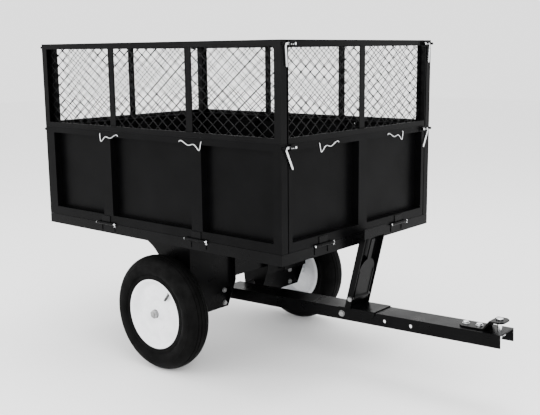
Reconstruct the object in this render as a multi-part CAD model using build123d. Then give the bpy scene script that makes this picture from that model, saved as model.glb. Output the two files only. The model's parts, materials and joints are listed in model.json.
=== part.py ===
from build123d import *
import math
import os

# Tow behind cart: a tipping bed with four drop sides and four mesh
# extensions, on two wheels and a channel drawbar. Lengths in millimetres.
# +X points to the hitch, +Y to the left, +Z up. The origin lies on the
# ground under the middle of the cart's whole length.

# ---------------------------------------------------------------- overall
box_length = 1050.0
box_width = 770.0
box_height = 610.0            # bed rail's underside to the top of the mesh
mesh_height = 275.0
total_height = 1030.0
reach = 1530.0                # rear face of the box to the hitch end

running_gap = 0.1             # radial, pin in its bore
seat_gap = 0.3                # between parts that rest on each other

# ---------------------------------------------------------------- bed
rail_height = 32.0
rail_flange = 45.0
rail_wall = 2.0
floor_wall = 1.5
floor_gap = 5.0               # floor's edge inside the panels
member_width = 40.0
member_wall = 2.0

# ---------------------------------------------------------------- wheels
axle_from_rear = 525.0
wheel_radius = 185.0
tyre_half_width = 44.0
track_half = 352.0
axle_radius = 8.0
rim_seat_radius = 103.0
rim_lip_radius = 113.0
rim_half_width = 38.0
rim_wall = 2.5
hub_radius = 17.0
hub_half_length = 30.0
hub_wall = 3.0
disc_offset = 6.0
valve_angle = 50.0
valve_radius = 4.5
valve_length = 34.0
tyre_gap = 0.3

# ---------------------------------------------------------------- drop sides
panel_depth = 26.0
panel_wall = 1.5
panel_gap = 1.0               # bed rail to panel
corner_gap = 4.0              # side panel to end panel
top_rail = 20.0
bottom_rail = 27.0
rib_width = 45.0
rib_rear = 318.0              # rib centres, from the rear face
rib_front = 725.0
rear_post = 44.0
front_post = 30.0
end_panel_post = 16.0

# ---------------------------------------------------------------- hinges
hinge_rear = 305.0
hinge_front = 720.0
hinge_side = 200.0            # end panels, each side of the middle
hinge_offset = 5.5            # axis in front of the panel's face
knuckle_radius = 4.5
hinge_pin_radius = 2.5
leaf_length = 40.0
ear_length = 20.0
knuckle_gap = 1.0
strap_wall = 2.0
strap_height = 25.0

# ---------------------------------------------------------------- mesh
mesh_depth = 24.0
mesh_wall = 2.0
mesh_post = 24.0
end_mesh_post = 15.0
mesh_top_rail = 17.0
mesh_bottom_rail = 15.0
upright_width = 26.0
upright_wall = 3.0
upright_depth = 8.0           # back of an upright, from the outer face
upright_rear = 353.0
upright_front = 697.0
wire_gap = 0.2                # around the wire, inside its frame
wire_thickness = 1.6
wire_strand = 1.8
diamond_width = 42.0
diamond_height = 33.0
tongue_width = 25.0
tongue_wall = 3.0
tongue_length = 16.0
tongue_depth = 12.0           # from the outer face
tongue_slot_gap = 0.6

# ---------------------------------------------------------------- clips
clip_wire = 1.6
clip_rear = 336.0
clip_front = 707.0
clip_side = 175.0
clip_drop = 35.0

# ---------------------------------------------------------------- latches
latch_pivot_in = 50.0         # pivot bolt, in from the box's side face
latch_peg_in = 5.5            # keeper peg, in from the same face
latch_peg_radius = 4.0
latch_peg_length = 10.0
latch_below_top = 11.0        # pivot under the top of its rail
latch_plate_wall = 2.0
latch_gap = 0.4
latch_wall = 5.0
latch_bar = 9.0
latch_bolt_radius = 4.0
latch_head_radius = 6.5
latch_head_height = 4.0
latch_drop = 62.0
latch_grip_lean_low = 26.0
latch_grip_lean_high = 4.0

# ---------------------------------------------------------------- drawbar
drawbar_width = 86.0
drawbar_height = 38.0
drawbar_wall = 4.0
drawbar_slope = 2.2           # degrees, up towards the hitch
drawbar_tail = 25.0           # behind the axle
drawbar_below_axle = 25.0     # flange edge under the axle's centre
side_hole_radius = 5.5
side_hole_rear = 1160.0       # from the rear face
side_hole_front = 1250.0
side_bolt_behind = 45.0       # behind the box's front face

# ---------------------------------------------------------------- hitch
hitch_wall = 5.0
hitch_width = 56.0
hitch_flat_start = 1395.0
hitch_flat_end = 1473.0
hitch_tab_start = 1492.0
hitch_rise = 30.0
hitch_bolt_rear = 1407.0
hitch_bolt_front = 1448.0
hitch_pin_from_rear = 1509.0
hitch_pin_radius = 6.5
hitch_head_radius = 10.0
hitch_head_height = 5.0
hitch_pin_gap = 0.3
hitch_corner = 12.0
clip_hole_radius = 1.6

# ---------------------------------------------------------------- latch stand
stand_width = 104.0
stand_depth = 20.0
stand_wall = 3.0
stand_behind = 29.0           # its back at the foot, behind the box's front face
stand_lean = 13.6             # degrees, forward
base_behind = 55.0            # places of the foot, from the box's front face
foot_bolt_behind = 40.0
cheek_behind = 14.0
foot_ahead = 77.0
foot_drop = 18.0              # cheeks, down the drawbar's sides
foot_wall = 3.0
strike_width = 118.0
strike_reach = 48.0
strike_shelf = 3.0            # shelf's top under the rail's top
strike_lip = 27.0             # lip above the shelf
strike_wall = 3.0
lever_width = 78.0
lever_wall = 4.0
lever_standoff = 9.0          # lever in front of the channel's web
lever_pivot = 38.0            # along the channel, above the drawbar
lever_top = 166.0
lever_pin_radius = 5.0
lever_fold = 6.0
lever_boss_wall = 3.0

# ---------------------------------------------------------------- brackets
bracket_inner = 83.0
bracket_outer = 295.0
bracket_wall = 3.0
bracket_rear = 142.0          # behind the axle, at the bed
bracket_front = 72.0
bracket_foot = 34.0
bracket_low = 148.0
beam_top = 226.0
gusset_top = 70.0
gusset_bottom = 120.0
cross_plate_low = 254.0
flange_depth = 42.0
bracket_bolt_radius = 5.0
bracket_bolt_rise = 22.0
beam_bolt_inner = 18.0        # from the inner cheek
beam_bolt_outer = 47.0        # from the outer cheek
flange_bolt_in = 26.0
flange_bolt_back = 12.0       # from the front member's middle
collar_radius = 13.0

# ---------------------------------------------------------------- places
rear_standout = latch_plate_wall + 2 * latch_gap + latch_wall + latch_head_height
nose = drawbar_below_axle * math.sin(math.radians(drawbar_slope))
rear_x = (rear_standout - reach - nose) / 2
front_x = rear_x + box_length
mid_x = rear_x + box_length / 2
hitch_x = rear_x + reach
half_width = box_width / 2
floor_inset = panel_depth + floor_gap
side_bolt = box_length - side_bolt_behind
stand_foot = box_length - stand_behind
base_start = box_length - base_behind
foot_bolt = box_length - foot_bolt_behind
foot_start = box_length - cheek_behind
foot_end = box_length + foot_ahead
bed_bottom = total_height - box_height
bed_top = bed_bottom + rail_height
panel_bottom = bed_top + panel_gap
panel_top = total_height - mesh_height
mesh_bottom = panel_top + seat_gap
hinge_z = bed_top
axle_x = rear_x + axle_from_rear
axle_z = wheel_radius


# ================================================================ helpers
def block(x0, x1, y0, y1, z0, z1):
    """A box between two corners."""
    size = Box(x1 - x0, y1 - y0, z1 - z0)
    return Pos((x0 + x1) / 2, (y0 + y1) / 2, (z0 + z1) / 2) * size


def bar_x(x0, x1, y, z, radius):
    """A round bar along X."""
    return Pos((x0 + x1) / 2, y, z) * Rot(0, 90, 0) * Cylinder(radius, x1 - x0)


def bar_y(x, y0, y1, z, radius):
    """A round bar along Y."""
    return Pos(x, (y0 + y1) / 2, z) * Rot(90, 0, 0) * Cylinder(radius, y1 - y0)


def bar_z(x, y, z0, z1, radius):
    """A round bar along Z."""
    return Pos(x, y, (z0 + z1) / 2) * Cylinder(radius, z1 - z0)


def hexagon_y(x, y0, y1, z, across_flats):
    """A hexagon nut or bolt head along Y."""
    radius = across_flats / math.sqrt(3)
    outline = RegularPolygon(radius, 6)
    return Pos(x, y0, z) * Rot(-90, 0, 0) * extrude(outline, amount=y1 - y0)


def hexagon_x(x0, x1, y, z, across_flats):
    """A hexagon nut or bolt head along X."""
    radius = across_flats / math.sqrt(3)
    outline = RegularPolygon(radius, 6)
    return Pos(x0, y, z) * Rot(0, 90, 0) * extrude(outline, amount=x1 - x0)


def hexagon_z(x, y, z0, z1, across_flats):
    """A hexagon nut or bolt head along Z."""
    radius = across_flats / math.sqrt(3)
    outline = RegularPolygon(radius, 6)
    return Pos(x, y, z0) * extrude(outline, amount=z1 - z0)


def plate_xz(points, y0, y1):
    """A flat plate: an outline in X and Z, from y0 to y1."""
    face = make_face(Polyline(*[(x, 0, z) for x, z in points], close=True))
    solid = extrude(face, amount=y1 - y0, dir=(0, 1, 0))
    return Pos(0, y0, 0) * solid


def plate_yz(points, x0, x1):
    """A flat plate: an outline in Y and Z, from x0 to x1."""
    face = make_face(Polyline(*[(0, y, z) for y, z in points], close=True))
    solid = extrude(face, amount=x1 - x0, dir=(1, 0, 0))
    return Pos(x0, 0, 0) * solid


def wire_along(points, radius, bend):
    """A bent round wire through the given points."""
    path = FilletPolyline(*points, radius=bend)
    start = Plane(origin=path @ 0, z_dir=path % 0)
    return sweep(start * Circle(radius), path=path)


def on_side(shape, side):
    """Place a shape made for the right side (outer face at y = 0, inward
    along +Y, middle of its length at x = 0) on one side of the box."""
    if side == "right":
        return Pos(mid_x, -half_width, 0) * shape
    if side == "left":
        return Pos(mid_x, half_width, 0) * mirror(shape, about=Plane.XZ)
    if side == "front":
        return Pos(front_x, 0, 0) * Rot(0, 0, 90) * shape
    return Pos(rear_x, 0, 0) * Rot(0, 0, -90) * shape


def save(name, *shapes):
    """Write one node from one or more solids."""
    solids = [solid for shape in shapes for solid in shape.solids()]
    whole = solids[0] if len(solids) == 1 else Compound(children=solids)
    export_step(whole, f"parts/{name}.step")
    print(name, len(solids))


os.makedirs("parts", exist_ok=True)
sides = ("right", "left", "front", "rear")
long_sides = ("right", "left")


def along(from_rear):
    """A place along the long side, from the middle of its length."""
    return from_rear - box_length / 2


end_length = box_width - 2 * (panel_depth + corner_gap)
side_length = {"right": box_length, "left": box_length,
               "front": end_length, "rear": end_length}
ribs = {"right": (along(rib_rear), along(rib_front)), "front": (0.0,)}
uprights = {"right": (along(upright_rear), along(upright_front)), "front": (0.0,)}
posts = {"right": (rear_post, front_post), "front": (end_panel_post, end_panel_post)}
hinges = {"right": (along(hinge_rear), along(hinge_front)),
          "front": (-hinge_side, hinge_side)}
clips = {"right": (along(clip_rear), along(clip_front)),
         "front": (-clip_side, clip_side)}
for table in (ribs, uprights, posts, hinges, clips):
    table["left"] = table["right"]
    table["rear"] = table["front"]


# ================================================================ bed
def bed_frame():
    """Four rails, folded as channels open to the inside."""
    ring = block(rear_x, front_x, -half_width, half_width, bed_bottom, bed_top)
    hole = block(rear_x + rail_flange, front_x - rail_flange,
                 rail_flange - half_width, half_width - rail_flange,
                 bed_bottom - 1, bed_top + 1)
    hollow = block(rear_x + rail_wall, front_x - rail_wall,
                   rail_wall - half_width, half_width - rail_wall,
                   bed_bottom + rail_wall, bed_top - rail_wall)
    return ring - hole - hollow


def cross_member(x):
    """A channel under the floor, open at the bottom."""
    reach_y = half_width - rail_flange
    outer = block(x - member_width / 2, x + member_width / 2,
                  -reach_y, reach_y, bed_bottom, bed_top)
    inner = block(x - member_width / 2 + member_wall,
                  x + member_width / 2 - member_wall,
                  -reach_y - 1, reach_y + 1, bed_bottom - 1, bed_top - member_wall)
    return outer - inner


member_rear = axle_x - bracket_rear + member_width / 2
member_front = axle_x + bracket_front - member_width / 2
member_ends = (rear_x + 190, front_x - 190)
members = [cross_member(x) for x in (member_rear, member_front) + member_ends]

save("bed_frame", bed_frame())
save("cross_members", *members)
save("bed_floor", block(rear_x + floor_inset, front_x - floor_inset,
                        floor_inset - half_width, half_width - floor_inset,
                        bed_top, bed_top + floor_wall))


# ================================================================ drop sides
def drop_side(side):
    """One folded panel: flat bays set back between hollow posts and ribs."""
    length = side_length[side]
    low, high = panel_bottom, panel_top
    first, last = posts[side]
    edges = [-length / 2 + first]
    for rib in ribs[side]:
        edges += [rib - rib_width / 2, rib + rib_width / 2]
    edges.append(length / 2 - last)
    shape = block(-length / 2, length / 2, 0, panel_depth, low, high)
    for start, end in zip(edges[0::2], edges[1::2]):
        shape -= block(start, end, -1, panel_depth - panel_wall,
                       low + bottom_rail, high - top_rail)
    bounds = [-length / 2] + edges + [length / 2]
    for start, end in zip(bounds[0::2], bounds[1::2]):
        shape -= block(start + panel_wall, end - panel_wall, panel_wall,
                       panel_depth + 1, low + panel_wall, high - panel_wall)
    for start, end in ((low, low + bottom_rail), (high - top_rail, high)):
        shape -= block(panel_wall - length / 2, length / 2 - panel_wall, panel_wall,
                       panel_depth + 1, start + panel_wall, end - panel_wall)
    half_slot = tongue_width / 2 + tongue_slot_gap
    for place in clips[side]:
        shape -= block(place - half_slot, place + half_slot,
                       tongue_depth - tongue_wall / 2 - tongue_slot_gap,
                       tongue_depth + tongue_wall / 2 + tongue_slot_gap,
                       high - panel_wall - 1, high + 1)
        pin = place - math.copysign(clip_pin_reach, -place)
        shape -= bar_y(pin, -1, panel_wall + 1, clip_z, clip_wire + running_gap)
    return shape


def keeper_pegs(side, z):
    """Pegs on a long side's two ends that the latch levers close against."""
    if side not in long_sides:
        return []
    half = side_length[side] / 2
    return [on_side(bar_x(start, start + latch_peg_length, latch_peg_in, z,
                          latch_peg_radius), side)
            for start in (-half - latch_peg_length, half)]


low_latch_z = panel_top - latch_below_top
high_latch_z = total_height - latch_below_top
clip_z = panel_top - top_rail / 2
clip_pin_reach = 44.0
clip_face = 1.0               # wire in front of the panel's face


def safety_clip(place):
    """A bent wire: its pin end enters the rail, its tail lies on the face."""
    turn = math.copysign(1, -place)
    y = -clip_wire - clip_face
    pin = place - turn * clip_pin_reach
    points = [(pin, panel_wall + 2, clip_z), (pin, y, clip_z),
              (pin + turn * 7, y, clip_z - clip_drop + 8),
              (pin + turn * 30, y, clip_z - 12),
              (pin + turn * 55, y, clip_z - 16),
              (pin + turn * 92, y, clip_z + 3)]
    return wire_along(points, clip_wire, 2.5)


def knuckle(start, end):
    """A rolled tube round the hinge axis."""
    tube = bar_x(start, end, -hinge_offset, hinge_z, knuckle_radius)
    return tube - bar_x(start - 1, end + 1, -hinge_offset, hinge_z,
                        hinge_pin_radius + running_gap)


def hinge_leaf(place):
    """The panel's half of a hinge: a strap with the middle knuckle."""
    half = leaf_length / 2
    strap = block(place - half, place + half, -strap_wall, 0,
                  hinge_z, hinge_z + strap_height)
    bore = bar_x(place - half - 1, place + half + 1, -hinge_offset, hinge_z,
                 hinge_pin_radius + running_gap)
    return strap - bore + knuckle(place - half, place + half)


def hinge_ear(place, turn):
    """The bed's half of a hinge: one strap with an outer knuckle."""
    inner = place + turn * (leaf_length / 2 + knuckle_gap)
    outer = inner + turn * ear_length
    start, end = min(inner, outer), max(inner, outer)
    strap = block(start, end, -strap_wall, 0, hinge_z - strap_height, hinge_z)
    return strap + knuckle(start, end)


def hinge_pin(place):
    """A headed pin, with the split pin that keeps it in."""
    half = leaf_length / 2 + knuckle_gap + ear_length + 2
    pin = bar_x(place - half, place + half + 6, -hinge_offset, hinge_z,
                hinge_pin_radius)
    head = bar_x(place - half - 2, place - half, -hinge_offset, hinge_z,
                 knuckle_radius - 0.5)
    split = bar_z(place + half + 3, -hinge_offset, hinge_z - 9, hinge_z + 4.5, 0.9)
    return pin + head + split


for side in sides:
    save(f"panel_{side}", on_side(drop_side(side), side),
         *keeper_pegs(side, low_latch_z))
    save(f"hinge_leaves_{side}",
         *[on_side(hinge_leaf(place), side) for place in hinges[side]])
    save(f"safety_clips_{side}",
         *[on_side(safety_clip(place), side) for place in clips[side]])
save("hinge_ears", *[on_side(hinge_ear(place, turn), side)
                     for side in sides for place in hinges[side] for turn in (-1, 1)])
save("hinge_pins", *[on_side(hinge_pin(place), side)
                     for side in sides for place in hinges[side]])


# ================================================================ mesh
def mesh_frame(side):
    """A frame of angle rails and posts, with flat uprights and two tongues.
    The posts of a long side are closed on both faces."""
    length = side_length[side]
    half = length / 2
    low, high = mesh_bottom, total_height
    band = block(-half, half, 0, mesh_depth, low, high)
    band -= block(mesh_wall - half, half - mesh_wall, -1, mesh_depth + 1,
                  low + mesh_wall, high - mesh_wall)
    outer, inner = (mesh_post, mesh_post) if side in long_sides else (
        mesh_wall, end_mesh_post)
    face = block(-half, half, 0, mesh_wall, low, high)
    face -= block(outer - half, half - outer, -1, mesh_wall + 1,
                  low + mesh_bottom_rail, high - mesh_top_rail)
    back = block(-half, half, mesh_depth - mesh_wall, mesh_depth, low, high)
    back -= block(inner - half, half - inner, 0, mesh_depth + 1, low - 1, high + 1)
    shape = band + face + back
    for place in uprights[side]:
        shape += block(place - upright_width / 2, place + upright_width / 2,
                       upright_depth - upright_wall, upright_depth, low, high)
    for place in clips[side]:
        shape += block(place - tongue_width / 2, place + tongue_width / 2,
                       tongue_depth - tongue_wall / 2, tongue_depth + tongue_wall / 2,
                       low - tongue_length, low + mesh_wall)
    return shape


wire_plane = mesh_depth - mesh_wall - wire_gap - wire_thickness


def wire_mesh(side):
    """A lattice with diamond openings, inside the frame at its back."""
    edge = mesh_wall + wire_gap
    width = side_length[side] - 2 * edge
    height = total_height - mesh_bottom - 2 * edge
    slant = math.hypot(diamond_width, diamond_height)
    hole_half_width = diamond_width / 2 - wire_strand * slant / diamond_height / 2
    hole_half_height = diamond_height / 2 - wire_strand * slant / diamond_width / 2
    hole = make_face(Polyline((hole_half_width, 0), (0, hole_half_height),
                              (-hole_half_width, 0), (0, -hole_half_height),
                              close=True))
    columns = math.ceil(width / diamond_width) + 1
    rows = math.ceil(height / diamond_height) + 1
    holes = []
    for column in range(-columns, columns + 1):
        for row in range(-rows, rows + 1):
            x, z = column * diamond_width / 2, row * diamond_height / 2
            inside = (abs(x) < width / 2 + hole_half_width - 1
                      and abs(z) < height / 2 + hole_half_height - 1)
            if (column + row) % 2 == 0 and inside:
                holes.append(Pos(x, z) * hole)
    lattice = extrude(Rectangle(width, height) - holes, amount=wire_thickness)
    whole = lattice.solids().sort_by(SortBy.VOLUME)[-1]
    middle = (mesh_bottom + total_height) / 2
    return Pos(0, wire_plane + wire_thickness, middle) * Rot(90, 0, 0) * whole


for side in sides:
    save(f"mesh_frame_{side}", on_side(mesh_frame(side), side),
         *keeper_pegs(side, high_latch_z))
    save(f"wire_mesh_{side}", on_side(wire_mesh(side), side))


# ================================================================ latches
def latch_lever(turn, z, lean):
    """A flat lever on the end's face: an eye, an arm and a hanging grip.
    turn is -1 or +1, for the corner that it closes."""
    pivot = half_width - latch_pivot_in
    tip = half_width - latch_peg_in - latch_peg_radius - 1.0
    start = -(latch_plate_wall + latch_gap + latch_wall)
    eye = bar_y(turn * pivot, start, start + latch_wall, z, latch_bar)
    low = z - latch_bar / 2
    arm_points = [(turn * pivot, low), (turn * tip, low),
                  (turn * tip, z + latch_bar / 2), (turn * pivot, z + latch_bar / 2)]
    grip_points = [(turn * tip, low + 2), (turn * (tip - latch_bar), low + 2),
                   (turn * (tip - latch_bar - lean), z - latch_drop),
                   (turn * (tip - lean), z - latch_drop)]
    arm = plate_xz(arm_points, start, start + latch_wall)
    grip = plate_xz(grip_points, start, start + latch_wall)
    bore = bar_y(turn * pivot, start - 1, start + latch_wall + 1, z,
                 latch_bolt_radius + running_gap)
    return eye + arm + grip - bore


def latch_plate(turn, z):
    """The plate under a lever."""
    pivot = half_width - latch_pivot_in
    inner, outer = turn * (pivot - 13), turn * (pivot + 13)
    return block(min(inner, outer), max(inner, outer), -latch_plate_wall, 0,
                 z - latch_bar, z + latch_bar)


def latch_bolt(turn, z):
    """The bolt that a lever turns on."""
    pivot = half_width - latch_pivot_in
    neck = -(latch_plate_wall + 2 * latch_gap + latch_wall)
    shank = bar_y(turn * pivot, neck, -latch_plate_wall, z, latch_bolt_radius)
    head = bar_y(turn * pivot, neck - latch_head_height, neck, z, latch_head_radius)
    return shank + head


corners = {"right": -1, "left": 1}
for end in ("front", "rear"):
    for level, z, lean in (("low", low_latch_z, latch_grip_lean_low),
                           ("high", high_latch_z, latch_grip_lean_high)):
        fixed = []
        for name, corner in corners.items():
            turn = corner if end == "front" else -corner
            lever = latch_lever(turn, z, lean)
            save(f"latch_lever_{end}_{level}_{name}", on_side(lever, end))
            fixed += [on_side(latch_plate(turn, z), end),
                      on_side(latch_bolt(turn, z), end)]
        save(f"latch_plates_{end}_{level}", *fixed)


# ================================================================ drawbar
along_drawbar = Pos(axle_x, 0, axle_z) * Rot(0, -drawbar_slope, 0)
cosine = math.cos(math.radians(drawbar_slope))
flange_low = -drawbar_below_axle
web_top = flange_low + drawbar_height


def from_axle(from_rear):
    """A place along the drawbar, measured from the axle."""
    return (from_rear - axle_from_rear) / cosine


def drawbar():
    """A channel open at the bottom, as a web between two flanges, with the
    axle and hitch bores."""
    half = drawbar_width / 2
    inner = half - drawbar_wall
    end = from_axle(reach)
    web = block(-drawbar_tail, end, -inner, inner, web_top - drawbar_wall, web_top)
    for place in (foot_bolt, hitch_bolt_rear, hitch_bolt_front):
        web -= bar_z(from_axle(place), 0, flange_low, web_top + 1,
                     bracket_bolt_radius + running_gap)
    web -= bar_z(from_axle(hitch_pin_from_rear), 0, flange_low, web_top + 1,
                 hitch_pin_radius + hitch_pin_gap)
    flange = block(-drawbar_tail, end, inner, half, flange_low, web_top)
    flange -= bar_y(0, 0, half + 1, 0, axle_radius + running_gap)
    for place in (side_hole_rear, side_hole_front):
        flange -= bar_y(from_axle(place), 0, half + 1,
                        flange_low + drawbar_height * 0.45, side_hole_radius)
    flange -= bar_y(from_axle(side_bolt), 0, half + 1, side_bolt_z,
                    bracket_bolt_radius + running_gap)
    return [along_drawbar * piece
            for piece in (web, flange, mirror(flange, about=Plane.XZ))]


side_bolt_z = flange_low + drawbar_height * 0.5


def hitch_plate():
    """A flat foot, a ramp and a raised tab with clipped corners."""
    flat_start, flat_end = from_axle(hitch_flat_start), from_axle(hitch_flat_end)
    tab_start, tab_end = from_axle(hitch_tab_start), from_axle(reach)
    low, high = web_top, web_top + hitch_rise
    side_view = [(flat_start, low), (flat_end, low), (tab_start, high - hitch_wall),
                 (tab_end, high - hitch_wall), (tab_end, high),
                 (tab_start - 2, high), (flat_end - 2, low + hitch_wall),
                 (flat_start, low + hitch_wall)]
    shape = plate_xz(side_view, -hitch_width / 2, hitch_width / 2)
    for turn in (-1, 1):
        edge = turn * hitch_width / 2
        for x, step in ((tab_end, -1), (flat_start, 1)):
            corner = make_face(Polyline((x, edge), (x + step * hitch_corner, edge),
                                        (x, edge - turn * hitch_corner), close=True))
            shape -= Pos(0, 0, low - 1) * extrude(corner, amount=hitch_rise + 2)
    for place in (hitch_bolt_rear, hitch_bolt_front):
        shape -= bar_z(from_axle(place), 0, low - 1, high + 1,
                       bracket_bolt_radius + running_gap)
    shape -= bar_z(from_axle(hitch_pin_from_rear), 0, low - 1, high + 1,
                   hitch_pin_radius + hitch_pin_gap)
    return along_drawbar * shape


def hitch_bolt(from_rear):
    """A bolt through the hitch plate and the drawbar's web, with its nut."""
    x = from_axle(from_rear)
    under = web_top - drawbar_wall
    shape = bar_z(x, 0, under - 14, web_top + hitch_wall, bracket_bolt_radius)
    shape += hexagon_z(x, 0, web_top + hitch_wall, web_top + hitch_wall + 6.4, 16)
    shape += hexagon_z(x, 0, under - 8, under, 16)
    return along_drawbar * shape


hitch_clip_z = web_top - drawbar_wall - 8 - clip_hole_radius


def hitch_pin():
    """A headed pin with a cross hole for its clip."""
    x = from_axle(hitch_pin_from_rear)
    tab_top = web_top + hitch_rise
    shape = bar_z(x, 0, hitch_clip_z - 10, tab_top + seat_gap, hitch_pin_radius)
    shape += bar_z(x, 0, tab_top + seat_gap, tab_top + seat_gap + hitch_head_height,
                   hitch_head_radius)
    shape -= bar_y(x, -20, 20, hitch_clip_z, clip_hole_radius + running_gap)
    return along_drawbar * shape


def hitch_clip():
    """A spring ring clip: a straight leg through the pin, and a bowed one."""
    x = from_axle(hitch_pin_from_rear)
    z = hitch_clip_z
    points = [(x, -9.5, z), (x, 14, z), (x + 10, 17, z), (x + 12, 8, z),
              (x + 10, 0, z), (x + 12, -8, z)]
    return along_drawbar * wire_along(points, clip_hole_radius, 2.5)


save("drawbar", *drawbar())
save("hitch_plate", hitch_plate())
save("hitch_bolts", hitch_bolt(hitch_bolt_rear), hitch_bolt(hitch_bolt_front))
save("hitch_pin", hitch_pin())
save("hitch_clip", hitch_clip())


# ================================================================ latch stand
def drawbar_top_z(from_rear):
    """Height of the drawbar's top face at a place along the cart."""
    slope = math.radians(drawbar_slope)
    return axle_z + web_top / cosine + (from_rear - axle_from_rear) * math.tan(slope)


stand_base_z = drawbar_top_z(stand_foot)
up_the_stand = Pos(rear_x + stand_foot, 0, stand_base_z) * Rot(0, stand_lean, 0)
shelf_top = bed_top - strike_shelf
stand_high = shelf_top - strike_wall - seat_gap


def below_drawbar_top():
    """Everything under the drawbar's top face."""
    return along_drawbar * block(-200, 1400, -100, 100, web_top - 300, web_top)


def latch_stand():
    """A channel open to the front on a foot that straddles the drawbar."""
    half = stand_width / 2
    shape = block(0, stand_depth, -half, half, -60, 300)
    shape -= block(stand_wall, stand_depth + 1, stand_wall - half,
                   half - stand_wall, -61, 301)
    shape -= bar_y(lever_x, -half - 1, half + 1, lever_pivot,
                   lever_pin_radius + running_gap)
    shape = up_the_stand * shape
    shape -= below_drawbar_top()
    shape -= block(rear_x, hitch_x, -100, 100, stand_high, stand_high + 200)
    return shape + stand_foot_plates()


def stand_foot_plates():
    """A base plate on the drawbar with a cheek down each of its sides."""
    start, end = from_axle(foot_start), from_axle(foot_end)
    inner = drawbar_width / 2
    outer = inner + foot_wall
    shape = block(from_axle(base_start), end, -outer, outer, web_top,
                  web_top + foot_wall)
    low = web_top - foot_drop
    cheek = [(start, web_top), (start, low), (end - foot_drop / 2, low),
             (end, web_top - foot_drop / 2), (end, web_top)]
    for near in (-outer, inner):
        shape += plate_xz(cheek, near, near + foot_wall)
    shape -= bar_z(from_axle(foot_bolt), 0, web_top - 1, web_top + foot_wall + 1,
                   bracket_bolt_radius + running_gap)
    return along_drawbar * shape


lever_x = lever_standoff + stand_wall


def foot_lever():
    """The foot lever: a round topped plate with folded edges, a bored boss
    at its foot, and a tail behind its top that rises to the strike plate."""
    half = lever_width / 2
    face = lever_x
    low = lever_pivot - 12
    plate = block(face, face + lever_wall, -half, half, low, lever_top - half)
    plate += Pos(face + lever_wall / 2, 0, lever_top - half) * Rot(0, 90, 0) * Cylinder(
        half, lever_wall)
    for turn in (-1, 1):
        inner, outer = turn * (half - lever_wall), turn * half
        plate += block(face, face + lever_fold, min(inner, outer), max(inner, outer),
                       low, lever_top - half)
    plate += bar_y(lever_x, -half, half, lever_pivot,
                   lever_pin_radius + lever_boss_wall)
    tail_top = (stand_high - stand_base_z) / math.cos(math.radians(stand_lean)) - 4
    plate += block(face, face + lever_wall, -9, 9, lever_top - 20, tail_top)
    plate -= bar_y(lever_x, -half - 1, half + 1, lever_pivot,
                   lever_pin_radius + running_gap)
    return up_the_stand * plate


def lever_pin():
    """The pin that the foot lever turns on, held by the stand."""
    half = stand_width / 2
    pin = bar_y(lever_x, -half - 2, half + 2, lever_pivot, lever_pin_radius)
    for start, end in ((-half - 5, -half - 2), (half + 2, half + 5)):
        pin += bar_y(lever_x, start, end, lever_pivot, lever_pin_radius + 3)
    return up_the_stand * pin


def side_bolt_through():
    """A bolt across the drawbar, behind the stand."""
    x, half = from_axle(side_bolt), drawbar_width / 2
    bolt = bar_y(x, -half, half + 12, side_bolt_z, bracket_bolt_radius)
    bolt += hexagon_y(x, -half - 6.4, -half, side_bolt_z, 16)
    bolt += hexagon_y(x, half, half + 8, side_bolt_z, 16)
    return along_drawbar * bolt


def stand_bolt():
    """The bolt that holds the stand's base to the drawbar's web."""
    x, under = from_axle(foot_bolt), web_top - drawbar_wall
    top = web_top + foot_wall
    bolt = bar_z(x, 0, under - 7, top, bracket_bolt_radius)
    bolt += hexagon_z(x, 0, top, top + 6.4, 16)
    bolt += hexagon_z(x, 0, under - 7, under, 16)
    return along_drawbar * bolt


def strike_plate():
    """A bent plate on the bed's front rail that rests on the stand."""
    half = strike_width / 2
    out = front_x + strike_reach
    side_view = [(front_x, bed_bottom + 4), (front_x + strike_wall, bed_bottom + 4),
                 (front_x + strike_wall, shelf_top - strike_wall),
                 (out, shelf_top - strike_wall), (out, shelf_top + strike_lip),
                 (out - strike_wall, shelf_top + strike_lip),
                 (out - strike_wall, shelf_top), (front_x, shelf_top)]
    return plate_xz(side_view, -half, half)


save("latch_stand", latch_stand())
save("stand_pin_and_bolt", lever_pin(), side_bolt_through(), stand_bolt())
save("latch_foot_lever", foot_lever())
save("strike_plate", strike_plate())


# ================================================================ brackets
def bracket_outline():
    """The side view of an axle bracket, from the bed down to its foot."""
    sweep_in = ThreePointArc((axle_x - bracket_rear, 0, bed_bottom - 24),
                             (axle_x - 76, 0, bed_bottom - 68),
                             (axle_x - 46, 0, beam_top + 20))
    rest = Polyline((axle_x - 46, 0, beam_top + 20),
                    (axle_x - bracket_foot, 0, bracket_low),
                    (axle_x + bracket_foot, 0, bracket_low),
                    (axle_x + bracket_front, 0, beam_top + 20),
                    (axle_x + bracket_front, 0, bed_bottom),
                    (axle_x - bracket_rear, 0, bed_bottom),
                    (axle_x - bracket_rear, 0, bed_bottom - 24))
    return make_face([sweep_in, rest])


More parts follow.
